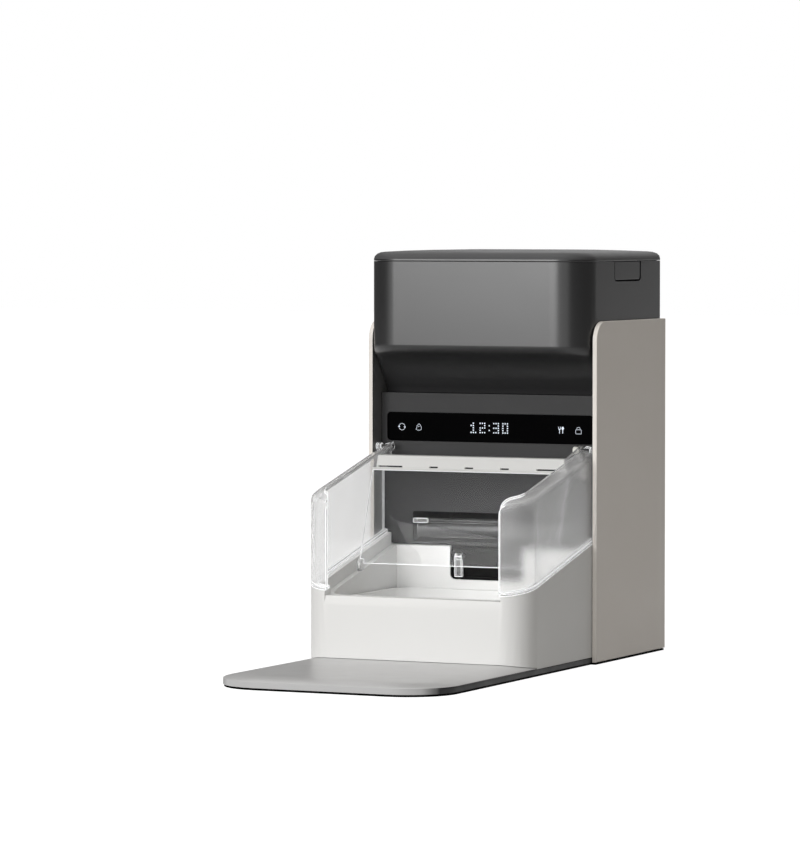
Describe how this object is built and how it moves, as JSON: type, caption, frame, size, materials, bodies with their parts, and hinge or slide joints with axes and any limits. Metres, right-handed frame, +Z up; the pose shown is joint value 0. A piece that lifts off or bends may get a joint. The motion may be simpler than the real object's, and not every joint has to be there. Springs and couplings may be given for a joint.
{
  "type": "microchip pet feeder",
  "caption": "Automatic dry food feeder with a raised lidded hopper, display panel, food chute, bowl tray with side guards, a hinged clear flap and a standing platform.",
  "frame": {"origin": "centre of the footprint on the floor, under the rubber mat", "axes": "+Z up, +Y to the back, +X to the right seen from the front"},
  "size_m": [0.1956, 0.427, 0.32],
  "materials": {
    "taupe_plastic": "satin, fine grain",
    "white_plastic": "semi-gloss",
    "charcoal_plastic": "satin",
    "dark_plastic": "matte",
    "pale_grey_platform": "semi-gloss",
    "clear_plastic": "clear, polished",
    "frosted_plastic": "frosted, translucent",
    "black_glass": "high gloss",
    "black_rubber": "matte",
    "pale_silicone": "satin",
    "steel": "brushed",
    "copper_wire": "enamelled wire",
    "circuit_board": "satin",
    "natural_acetal": "satin",
    "cell_sleeve": "glossy sleeve"
  },
  "bodies": {
    "base": {"anti_slip_mat": "black_rubber", "base_plate": "dark_plastic", "platform_cover": "pale_grey_platform", "bowl_housing": "white_plastic", "guard_left": "frosted_plastic", "guard_right": "frosted_plastic", "flap_motor": "steel", "side_panel_left": "taupe_plastic", "side_panel_right": "taupe_plastic", "fascia_panel": "charcoal_plastic", "display_window": "black_glass", "display_board": "circuit_board", "body_frame": "dark_plastic", "rear_cover": "dark_plastic", "upper_housing": "charcoal_plastic", "food_hopper": "dark_plastic", "dispenser_drum": "dark_plastic", "dispenser_motor": "steel", "outlet_chute": "dark_plastic", "outlet_hinge_cap": "clear_plastic", "latch_pocket": "dark_plastic", "bowl_latch_pin": "steel", "main_board": "circuit_board", "tag_reader_coil": "copper_wire", "battery_box": "dark_plastic", "battery_left": "cell_sleeve", "battery_middle": "cell_sleeve", "battery_right": "cell_sleeve", "power_socket": "dark_plastic", "speaker": "dark_plastic", "rear_screw_1": "steel", "rear_screw_2": "steel", "rear_screw_3": "steel", "rear_screw_4": "steel"},
    "flap": {"flap_beam": "white_plastic", "flap_panel": "clear_plastic", "flap_arm_left": "clear_plastic", "flap_arm_right": "clear_plastic", "flap_pin_left": "dark_plastic", "flap_pin_right": "dark_plastic", "flap_bumper_left": "pale_silicone", "flap_bumper_right": "pale_silicone", "flap_gear": "natural_acetal"},
    "flap_drive_pinion": {"flap_pinion": "natural_acetal"},
    "rotor": {"dispenser_rotor": "pale_silicone", "rotor_shaft": "steel", "rotor_gear": "natural_acetal"},
    "rotor_drive_pinion": {"motor_pinion": "natural_acetal"},
    "outlet_door": {"outlet_flap": "dark_plastic", "outlet_flap_rod": "steel"},
    "bowl": {"food_bowl": "white_plastic"},
    "bowl_catch": {"bowl_latch": "clear_plastic"},
    "lid": {"hopper_lid": "charcoal_plastic", "lid_seal": "pale_silicone", "desiccant_box": "white_plastic", "desiccant_cover": "white_plastic"},
    "left_lid_latch": {"lid_latch_left": "charcoal_plastic"},
    "right_lid_latch": {"lid_latch_right": "charcoal_plastic"},
    "battery_cover": {"battery_door": "dark_plastic"}
  },
  "joints": [
    {"name": "flap_hinge", "type": "hinge", "parent": "base", "child": "flap", "pos_m": [0, 0.0805, 0.165], "axis": [-1, 0, 0], "range_deg": [0, 60]},
    {"name": "flap_pinion_spin", "type": "hinge", "parent": "base", "child": "flap_drive_pinion", "pos_m": [0.0774, 0.09472, 0.14921], "axis": [-1, 0, 0], "range_deg": [-150, 6]},
    {"name": "rotor_spin", "type": "hinge", "parent": "base", "child": "rotor", "pos_m": [0, 0.15, 0.172], "axis": [1, 0, 0], "continuous": true},
    {"name": "motor_pinion_spin", "type": "hinge", "parent": "base", "child": "rotor_drive_pinion", "pos_m": [0.04325, 0.1772, 0.172], "axis": [1, 0, 0], "continuous": true},
    {"name": "outlet_flap_hinge", "type": "hinge", "parent": "base", "child": "outlet_door", "pos_m": [0, 0.0943, 0.1065], "axis": [-1, 0, 0], "range_deg": [0, 25]},
    {"name": "bowl_lift", "type": "slide", "parent": "base", "child": "bowl", "axis": [0, 0, 1], "range_m": [0, 0.021]},
    {"name": "bowl_latch_hinge", "type": "hinge", "parent": "base", "child": "bowl_catch", "pos_m": [-0.02685, 0.0906, 0.0789], "axis": [1, 0, 0], "range_deg": [0, 10], "stiffness_Nm_per_rad": 0.01},
    {"name": "lid_lift", "type": "slide", "parent": "base", "child": "lid", "axis": [0, 0, 1], "range_m": [0, 0.12]},
    {"name": "lid_latch_left_press", "type": "slide", "parent": "base", "child": "left_lid_latch", "axis": [1, 0, 0], "range_m": [0, 0.002], "stiffness_N_per_m": 300},
    {"name": "lid_latch_right_press", "type": "slide", "parent": "base", "child": "right_lid_latch", "axis": [-1, 0, 0], "range_m": [0, 0.002], "stiffness_N_per_m": 300},
    {"name": "battery_door_slide", "type": "slide", "parent": "base", "child": "battery_cover", "axis": [0, 1, 0], "range_m": [0, 0.03]}
  ],
  "couplings": [
    {"joint": "flap_pinion_spin", "follows": "flap_hinge", "ratio": -2.4},
    {"joint": "motor_pinion_spin", "follows": "rotor_spin", "ratio": -2.4}
  ]
}
